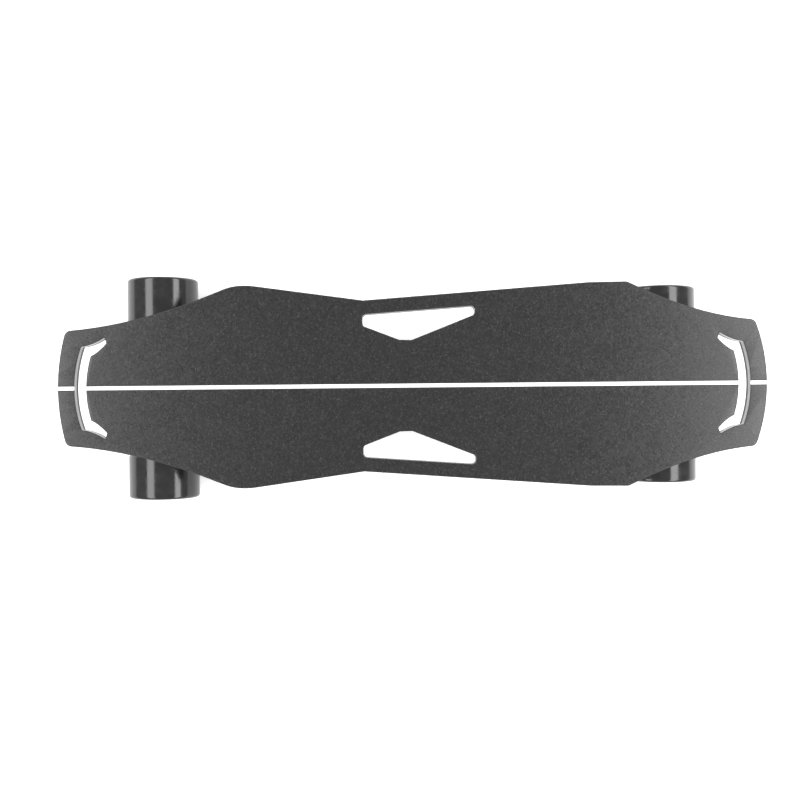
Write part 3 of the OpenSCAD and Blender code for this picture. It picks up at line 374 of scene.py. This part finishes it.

# %% [markdown]
# ## One finish for each slot
# The record names the finish of each part as a slot. We make one material for each slot here, and a few
# parts below take another, such as the rims of the grip sheets and the braided cable sleeves.

# %% Finishes by slot
white_film = skin_finish("stripe_film", (0.86, 0.86, 0.86), 0.42, 0.5 * mm, 0.02 * mm, 0.04)
finish_of = {
    "grip": grip_top,
    "stripe": white_film,
    "grey_metal": milled_finish("plate_milled", (0.5, 0.503, 0.51), 0.38),
    "cover_black": skin_finish("cover_powder_coat", (0.026, 0.026, 0.027), 0.46, 0.7 * mm, 0.05 * mm),
    "tray_black": skin_finish("tray_moulding", (0.022, 0.022, 0.023), 0.56, 0.32 * mm, 0.05 * mm),
    "black_screw": plated_finish("black_oxide", (0.055, 0.053, 0.052), 0.4, 0.75),
    "steel": plated_finish("zinc_plate", (0.66, 0.66, 0.65), 0.3),
    "gasket_rubber": skin_finish("black_rubber", (0.014, 0.014, 0.014), 0.78, 0.4 * mm, 0.03 * mm, 0.4),
    "cell_wrap": skin_finish("cell_shrink_wrap", (0.03, 0.22, 0.26), 0.3, 1.6 * mm, 0.03 * mm),
    "holder_plastic": skin_finish("holder_moulding", (0.02, 0.02, 0.021), 0.5, 0.4 * mm, 0.03 * mm),
    "circuit_board": skin_finish("solder_mask", (0.012, 0.11, 0.04), 0.32, 0.8 * mm, 0.03 * mm),
    "sink_aluminium": milled_finish("sink_extrusion", (0.74, 0.74, 0.75), 0.38),
    "wire_jacket": skin_finish("silicone_jacket", (0.42, 0.016, 0.014), 0.5, 0.5 * mm, 0.02 * mm),
    "socket_plastic": skin_finish("socket_moulding", (0.016, 0.016, 0.017), 0.34, 0.3 * mm, 0.02 * mm),
    "lens": skin_finish("frosted_window", (0.4, 0.5, 0.58), 0.28, 0.3 * mm, 0.01 * mm, 0.08, Coat_Weight=0.4),
    "truck_metal": skin_finish("painted_casting", (0.075, 0.076, 0.08), 0.4, 0.55 * mm, 0.07 * mm, 0.18, 0.4,
                               Metallic=0.55),
    "urethane": skin_finish("bushing_urethane", (0.4, 0.022, 0.016), 0.36, 0.9 * mm, 0.03 * mm, 0.12,
                            Subsurface_Weight=0.1),
    "rotor_metal": turned_finish("rotor_turned", (0.4, 0.4, 0.42), 0.36, rear_axle),
    "magnet": plated_finish("nickel_plate", (0.62, 0.6, 0.55), 0.24),
    "motor_cover_black": turned_finish("cover_anodised", (0.05, 0.05, 0.052), 0.36, rear_axle, 0.8),
    "laminations": milled_finish("core_laminations", (0.3, 0.3, 0.32), 0.42),
    "copper": plated_finish("enamelled_copper", (0.72, 0.3, 0.12), 0.3),
    "core_plastic": skin_finish("core_moulding", (0.024, 0.024, 0.025), 0.34, 0.6 * mm, 0.03 * mm),
    "cable_jacket": skin_finish("plain_sleeve", (0.02, 0.02, 0.02), 0.6, 0.5 * mm, 0.04 * mm),
}
print("finishes:", len(finish_of))

# %% [markdown]
# ## Wheel urethane
# Cast urethane comes out of a polished mould, so it is nearly a black mirror, with a slow ripple from
# shrinkage and a faint bloom that dulls it in patches. The lamps show as clean streaks because the
# roughness stays low.

# %% Urethane finish
def wheel_finish():
    made = Finish("wheel_urethane", Specular_IOR_Level=0.55, Coat_Roughness=0.06)
    ripple = made.noise(34 * mm, 1)
    bloom = made.noise(11 * mm, 5)
    dust = made.noise(0.9 * mm, 3)
    polished = (0.009, 0.009, 0.0095)
    bloomed = (0.017, 0.017, 0.0175)
    made.feed("Base Color", made.between(made.spread(bloom, 0.4, 0.7), polished, bloomed))
    made.feed("Roughness", made.spread(bloom * 0.7 + dust * 0.3, 0.35, 0.68, 0.1, 0.22))
    made.relief(ripple + dust * 0.01, 0.5 * mm, 0.25)
    return made.material


finish_of["wheel_urethane"] = wheel_finish()
print(finish_of["wheel_urethane"].name)

# %% [markdown]
# ## From a CAD node to a shown piece
# A node arrives as loose triangles with knife-sharp corners. A copy is merged, its flat faces are made
# whole, and each sharp edge gets a small bevel that catches the light as a real deburred edge does. A bevel
# is clamped, so that it never grows past a short neighbouring edge and folds a face over. The clamp holds a
# whole piece to the width that its tightest spot allows, so the deck's layers and the bushings, where the
# width matters more, go without it. The weighted-normal modifier keeps the big faces flat between the
# bevels. A large flat face with many holes is cut into triangles last, because the renderer can lose its
# way round such an outline. The node itself stays in the frame, hidden.

# %% Copy, bevel, finish
def merged(node):
    bm = bmesh.new()
    bm.from_mesh(nodes[node].data)
    bmesh.ops.remove_doubles(bm, verts=bm.verts, dist=touch)
    bmesh.ops.dissolve_limit(bm, angle_limit=math.radians(0.5), verts=bm.verts, edges=bm.edges)
    return bm


def sharp_edges(bm, angle=30):
    limit = math.radians(angle)
    return [e for e in bm.edges if len(e.link_faces) == 2 and e.calc_face_angle(0) > limit]


def bevel(bm, edges, width, segments=2, clamp=True):
    bmesh.ops.bevel(bm, geom=edges, offset=width, offset_type="OFFSET", segments=segments,
                    profile=0.5, affect="EDGES", material=-1, clamp_overlap=clamp)


def place_piece(name, bm, node, finishes, even=True, crease=38):
    """Turns a bmesh into a shown piece with the given finishes, which stands for a node and hides it."""
    bmesh.ops.triangulate(bm, faces=[f for f in bm.faces if len(f.verts) > 4])
    for face in bm.faces:
        face.smooth = True
    for edge in sharp_edges(bm, crease):
        edge.smooth = False
    mesh = bpy.data.meshes.new(name)
    bm.to_mesh(mesh)
    bm.free()
    for finish in finishes:
        mesh.materials.append(finish)
    piece = bpy.data.objects.new(name, mesh)
    scene.collection.objects.link(piece)
    if even:
        weigh = piece.modifiers.new("even_shading", "WEIGHTED_NORMAL")
        weigh.keep_sharp = True
    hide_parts(node)
    return piece


def softened(node, width, segments=2, clamp=True):
    bm = merged(node)
    bevel(bm, sharp_edges(bm), width, segments, clamp)
    piece = place_piece(node + "_piece", bm, node, [finish_of[slot_of[node]]])
    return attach(piece, body_of[node])


print("copy helpers ready")

# %% [markdown]
# ## Plain nodes
# Parts that are sealed inside keep their CAD mesh and only get their slot's finish. This is done for every
# node first, so that nothing is left bare, and the pieces below then take over the ones that can be seen.

# %% Finish every node
for node, piece in nodes.items():
    piece.data.materials.clear()
    piece.data.materials.append(finish_of[slot_of[node]])
print("finished", len(nodes), "nodes")

# %% [markdown]
# ## Grip sheets
# A grip sheet is cut with a blade, which rolls its rim down a little. The top face is inset to leave a
# narrow rim, and the rim's outer line is then lowered. Where the sheet meets the stripe it stays level, so
# the two butt.

# %% Grip sheets
rim_w = 0.95 * mm
rim_drop = 0.34 * mm
stripe_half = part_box("centre_stripe")[1].y


def grip_piece(node):
    bm = merged(node)
    top_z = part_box(node)[1].z
    top = [f for f in bm.faces if f.normal.z > 0.9 and f.calc_center_median().z > top_z - touch]
    rim = bmesh.ops.inset_region(bm, faces=top, thickness=rim_w, use_boundary=True,
                                 use_even_offset=True)["faces"]
    kept = {v for f in top for v in f.verts}
    # The rim faces take the darker rim grit, which is painted shade for the lowered rim.
    for face in rim:
        face.material_index = 1
    for vert in {v for f in rim for v in f.verts} - kept:
        if abs(vert.co.y) > stripe_half + 0.3 * mm:
            vert.co.z -= rim_drop
    piece = place_piece(node + "_piece", bm, node, [grip_top, painted_shade_rim_grit], crease=50)
    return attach(piece, body_of[node])


for node in ("grip_left", "grip_right"):
    print(node, "faces:", len(grip_piece(node).data.polygons))

# %% [markdown]
# ## Deck plate, stripe and lower cover
# The plate's milled walls show in the slots and round the edge. The cover under it is coated, so its edges
# are broken more heavily: the long outlines at its lower face get a rounded bevel, and small holes a fine
# one.

# %% Deck layers
softened("deck_plate", 0.35 * mm, clamp=False)
softened("centre_stripe", 0.12 * mm, 1, clamp=False)


def chains(edges):
    """Groups edges that touch, end to end."""
    left = set(edges)
    groups = []
    while left:
        group = [left.pop()]
        for edge in group:
            near = {e for v in edge.verts for e in v.link_edges} & left
            left -= near
            group.extend(near)
        groups.append(group)
    return groups


def span(group):
    xs = [v.co.x for e in group for v in e.verts]
    ys = [v.co.y for e in group for v in e.verts]
    return math.hypot(max(xs) - min(xs), max(ys) - min(ys))


def cover_piece(node, outline_w, hole_w):
    bm = merged(node)
    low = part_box(node)[0].z
    rims = [e for e in sharp_edges(bm) if all(v.co.z < low + touch for v in e.verts)]
    long_rims = [e for group in chains(rims) if span(group) > 40 * mm for e in group]
    others = set(sharp_edges(bm)) - set(long_rims)
    short_rims = [e for e in others if all(v.co.z < low + touch for v in e.verts)]
    bevel(bm, long_rims, outline_w, 4, clamp=False)
    bevel(bm, [e for e in short_rims if e.is_valid], hole_w, 2, clamp=False)
    piece = place_piece(node + "_piece", bm, node, [finish_of[slot_of[node]]])
    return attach(piece, body_of[node])


print("cover faces:", len(cover_piece("bottom_cover", 1.4 * mm, 0.25 * mm).data.polygons))

# %% [markdown]
# ## Trays
# The two moulded trays hang under the cover and hold the battery and the controller. A moulding like this
# has rounded corners and a shallow panel sunk into its floor, which stiffens it. Four straight cuts a
# little inside the floor's edges part the panel from its margin. The panel is then inset by the width of
# its sloping step and pushed in. An inset of the whole floor would cross itself at the rounded corners.

# %% Trays
tray_round = 1.6 * mm
panel_margin = 6 * mm
panel_step = 0.8 * mm
panel_depth = 0.7 * mm


def floor_faces(bm, level):
    """The flat faces that look down at a height."""
    return [f for f in bm.faces if f.normal.z < -0.99 and abs(f.calc_center_median().z - level) < touch]


def cut_floor(bm, level, axis, at):
    """Cuts the floor along a plane that stands across an axis."""
    faces = floor_faces(bm, level)
    place = Vector((0, 0, 0))
    place[axis] = at
    facing = Vector((0, 0, 0))
    facing[axis] = 1
    geom = list({part for f in faces for part in (f, *f.edges, *f.verts)})
    bmesh.ops.bisect_plane(bm, geom=geom, plane_co=place, plane_no=facing, dist=0.1 * touch)


def tray_piece(node):
    bm = merged(node)
    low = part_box(node)[0].z
    rim = [e for e in sharp_edges(bm) if all(v.co.z < low + touch for v in e.verts)]
    bevel(bm, rim, tray_round, 4)
    points = [v.co.copy() for f in floor_faces(bm, low) for v in f.verts]
    limits = []
    for axis in (0, 1):
        along = [point[axis] for point in points]
        limits.append((min(along) + panel_margin, max(along) - panel_margin))
        for at in limits[axis]:
            cut_floor(bm, low, axis, at)
    panel = [f for f in floor_faces(bm, low)
             if all(limits[axis][0] < f.calc_center_median()[axis] < limits[axis][1] for axis in (0, 1))]
    step = bmesh.ops.inset_region(bm, faces=panel, thickness=panel_step, use_boundary=True,
                                  use_even_offset=True)
    for vert in {v for f in panel for v in f.verts}:
        vert.co.z += panel_depth
    bevel(bm, [e for e in sharp_edges(bm, 55) if e.calc_length() > 5 * touch], 0.3 * mm, 2)
    piece = place_piece(node + "_piece", bm, node, [finish_of[slot_of[node]]])
    print(node, "faces:", len(piece.data.polygons), "panel walls:", len(step["faces"]))
    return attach(piece, body_of[node])


for node in ("battery_tray", "controller_tray"):
    tray_piece(node)

# %% [markdown]
# ## Castings
# Hangers and baseplates are cast, and a casting has no sharp inside corner: metal flows into fillets. A
# voxel remesh turns the joined shapes into one even skin, a smoothing pass melts the corners, and a
# decimate step thins the flat parts again. The grain of the remesh is well below the size of the fillets.

# %% Hangers and baseplates
def cast_piece(node, grain=0.75 * mm, passes=5, keep=0.45):
    mesh = bpy.data.meshes.new(node + "_pattern")
    bm = merged(node)
    bm.to_mesh(mesh)
    bm.free()
    pattern = bpy.data.objects.new(node + "_pattern", mesh)
    scene.collection.objects.link(pattern)
    skin = pattern.modifiers.new("skin", "REMESH")
    skin.mode = "VOXEL"
    skin.voxel_size = grain
    melt = pattern.modifiers.new("melt", "SMOOTH")
    melt.factor = 0.5
    melt.iterations = passes
    thin = pattern.modifiers.new("thin", "DECIMATE")
    thin.ratio = keep
    shape = bpy.data.meshes.new_from_object(pattern.evaluated_get(bpy.context.evaluated_depsgraph_get()))
    bpy.data.objects.remove(pattern)
    cast = bmesh.new()
    cast.from_mesh(shape)
    piece = place_piece(node + "_piece", cast, node, [finish_of[slot_of[node]]], even=False, crease=70)
    print(node, "faces:", len(piece.data.polygons))
    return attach(piece, body_of[node])


for node in ("front_hanger", "rear_hanger", "front_baseplate", "rear_baseplate"):
    cast_piece(node)

# %% [markdown]
# ## Turned rings
# A tyre is a ring, and a ring is a short outline spun round the axle. The outline is one face whose corners
# are rounded by a vertex bevel; the face is then dropped and its edge loop spun. A shallow groove on each
# side face marks where the mould's insert sat. A full spin needs use_merge so that the last step closes on
# the first.

# %% Tyres
ring_steps = 160
round_steps = 8
fine_steps = 2


def spun_ring(outline, axle):
    """Spins a closed outline of (across, radius, rounding) round the Y axis through axle."""
    bm = bmesh.new()
    corners = [bm.verts.new((axle.x, across, axle.z + radius)) for across, radius, _ in outline]
    bm.faces.new(corners)
    for corner, (_, _, rounding) in zip(corners, outline):
        if rounding:
            segments = round_steps if rounding > mm else fine_steps
            bmesh.ops.bevel(bm, geom=[corner], offset=rounding, offset_type="OFFSET", segments=segments,
                            profile=0.5, affect="VERTICES", material=-1)
    bmesh.ops.delete(bm, geom=bm.faces[:], context="FACES_ONLY")
    bmesh.ops.spin(bm, geom=bm.verts[:] + bm.edges[:], cent=axle, axis=(0, 1, 0), angle=2 * math.pi,
                   steps=ring_steps, use_merge=True)
    bmesh.ops.remove_doubles(bm, verts=bm.verts, dist=0.1 * touch)
    bmesh.ops.recalc_face_normals(bm, faces=bm.faces)
    return bm


def tyre_piece(node, core_r, axle):
    low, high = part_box(node)
    lip = 3.5 * mm
    groove_r = core_r + 0.35 * (wheel_r - lip - core_r)
    groove_w = 0.9 * mm
    groove_d = 0.5 * mm
    fine = 0.2 * mm
    outline = []
    for face, inward in ((low.y, 1), (high.y, -1)):
        side = [(face, core_r, fine), (face, groove_r, fine), (face + inward * groove_d, groove_r + fine, 0),
                (face + inward * groove_d, groove_r + groove_w - fine, 0), (face, groove_r + groove_w, fine),
                (face, wheel_r, lip)]
        outline += side if inward > 0 else side[::-1]
    ring = spun_ring(outline, axle)
    piece = place_piece(node + "_piece", ring, node, [finish_of["wheel_urethane"]], crease=50)
    print(node, "faces:", len(piece.data.polygons))
    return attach(piece, body_of[node])


for side in ("left", "right"):
    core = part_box(f"front_{side}_core")
    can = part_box(f"rear_{side}_rotor")
    tyre_piece(f"front_{side}_tyre", (core[1].x - core[0].x) / 2, front_axle)
    tyre_piece(f"rear_{side}_tyre", (can[1].x - can[0].x) / 2 + 0.05 * mm, rear_axle)

# %% [markdown]
# ## Wheel cores, motor covers and small metal
# These are well served by the bevelled copy. The width follows the size of the part: half a millimetre on a
# wheel core, and only a tenth on a small screw, where more would eat the head.

# %% Bevelled copies
widths = {
    "front_left_core": 0.5, "front_right_core": 0.5, "front_left_bearings": 0.2, "front_right_bearings": 0.2,
    "rear_left_covers": 0.3, "rear_right_covers": 0.3, "rear_left_cover_screws": 0.1,
    "rear_right_cover_screws": 0.1, "front_axle": 0.5, "front_axle_nuts": 0.2, "kingpins": 0.5,
    "kingpin_nuts": 0.4, "truck_bolts": 0.25, "cover_screws": 0.2, "tray_screws": 0.15, "riser_pads": 0.4,
    "tray_gaskets": 0.15, "cable_grommets": 0.4, "button_bezel": 0.35, "power_button": 0.5, "level_lens": 0.2,
    "charge_socket": 0.25, "charge_cap": 0.35, "cap_pin": 0.1, "pivot_cups": 0.3, "rear_axles": 0.4,
}
for node, width in widths.items():
    softened(node, width * mm)
print("bevelled copies:", len(widths))

# %% [markdown]
# ## Bushings
# The urethane bushings sit between the hanger's ring and the washers. When the truck steers, the ring's
# side of each bushing tilts with the truck and the far side stays with the deck. So each bushing is split
# into its own piece, and two points on the line from the ring to its middle are worked out and printed.

# %% Bushings
def islands(bm):
    """The separate shells of a bmesh, as lists of vertices."""
    left = set(bm.verts)
    found = []
    while left:
        shell = [left.pop()]
        for vert in shell:
            near = {e.other_vert(vert) for e in vert.link_edges} & left
            left -= near
            shell.extend(near)
        found.append(shell)
    return found


def bushing_pieces(end):
    node = f"{end}_bushings"
    ring = Vector(joint[f"{end}_truck_steer"]["pos_m"])
    parts = len(islands(merged(node)))
    for index in range(parts):
        bm = merged(node)
        shells = islands(bm)
        shells.sort(key=lambda shell: sum(v.co.z for v in shell) / len(shell))
        drop = [v for number, shell in enumerate(shells) if number != index for v in shell]
        bmesh.ops.delete(bm, geom=drop, context="VERTS")
        bevel(bm, sharp_edges(bm), 1.2 * mm, 4, clamp=False)
        bmesh.ops.subdivide_edges(bm, edges=[e for e in bm.edges if e.calc_length() > 6 * mm], cuts=4)
        middle = sum((v.co for v in bm.verts), Vector()) / len(bm.verts)
        name = f"{end}_{'lower' if index == 0 else 'upper'}_bushing"
        piece = place_piece(name, bm, node, [finish_of["urethane"]], even=False, crease=60)
        near, far = ring + (middle - ring) * 0.45, ring + (middle - ring) * 1.6
        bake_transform(piece)
        print(name, "bends from", [round(c / mm) for c in near], "to", [round(c / mm) for c in far])


for end in ("front", "rear"):
    bushing_pieces(end)

# %% [markdown]
# ## Motor cables
# Each hub motor's three phase wires leave the hanger in one braided sleeve that loops up into the cover
# through a grommet. A sleeve is a tube along a smooth path. Its braid is two sets of slanting strands in
# the tube's own UV map, so the pattern follows the bend. It hangs from the truck and ends in the deck.

# %% Braided sleeve
cable_route = [(9, 25, 0), (16, 25, 0), (22, 25, 1), (28, 25, 3.5), (34, 24.5, 7.5), (40, 24, 13),
               (45, 23, 20), (49, 22, 28), (52, 21, 36), (53.5, 20.3, 44), (54, 20, 51), (54, 20, 58),
               (54, 20, 65)]
cable_r = 2.5 * mm


def braid_finish(length):
    made = Finish("braided_sleeve", Roughness=0.55)
    around = 14
    along = around * length / (2 * math.pi * cable_r)
    uv = made.node("ShaderNodeUVMap", {"uv_map": "braid"})
    u = made.node("ShaderNodeSeparateXYZ", {}, {0: uv}, "X") * along
    v = made.node("ShaderNodeSeparateXYZ", {}, {0: uv}, "Y") * around
    one = made.node("ShaderNodeMath", {"operation": "SINE"}, {0: (u + v) * math.pi})
    two = made.node("ShaderNodeMath", {"operation": "SINE"}, {0: (u - v) * math.pi})
    over = one * two * 0.5 + 0.5
    fuzz = made.noise(0.3 * mm, 3)
    made.feed("Base Color", made.between(over * 0.7 + fuzz * 0.3, (0.008, 0.008, 0.008), (0.05, 0.05, 0.052)))
    made.relief(over + fuzz * 0.2, 0.3 * mm, 0.8)
    return made.material


def cable_piece(side):
    curve = bpy.data.curves.new("route", "CURVE")
    curve.dimensions = "3D"
    curve.bevel_depth = cable_r
    curve.bevel_resolution = 5
    curve.resolution_u = 6
    curve.use_fill_caps = True
    spline = curve.splines.new("BEZIER")
    spline.bezier_points.add(len(cable_route) - 1)
    for knot, (x, y, z) in zip(spline.bezier_points, cable_route):
        knot.co = rear_axle + Vector((x, side * y, z)) * mm
        knot.handle_left_type = knot.handle_right_type = "AUTO"
    length = spline.calc_length()
    carrier = bpy.data.objects.new("carrier", curve)
    scene.collection.objects.link(carrier)
    mesh = bpy.data.meshes.new_from_object(carrier.evaluated_get(bpy.context.evaluated_depsgraph_get()))
    bpy.data.objects.remove(carrier)
    if mesh.uv_layers:
        mesh.uv_layers[0].name = "braid"
    bm = bmesh.new()
    bm.from_mesh(mesh)
    bmesh.ops.remove_doubles(bm, verts=bm.verts, dist=touch)
    bmesh.ops.recalc_face_normals(bm, faces=bm.faces)
    return bm, length


sleeve_finish = None
for side, name in ((1, "left"), (-1, "right")):
    bm, length = cable_piece(side)
    sleeve_finish = sleeve_finish or braid_finish(length)
    piece = place_piece(f"{name}_motor_cable", bm, "motor_cables", [sleeve_finish], even=False, crease=60)
    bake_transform(piece)
    print(piece.name, "length in mm:", round(length / mm))
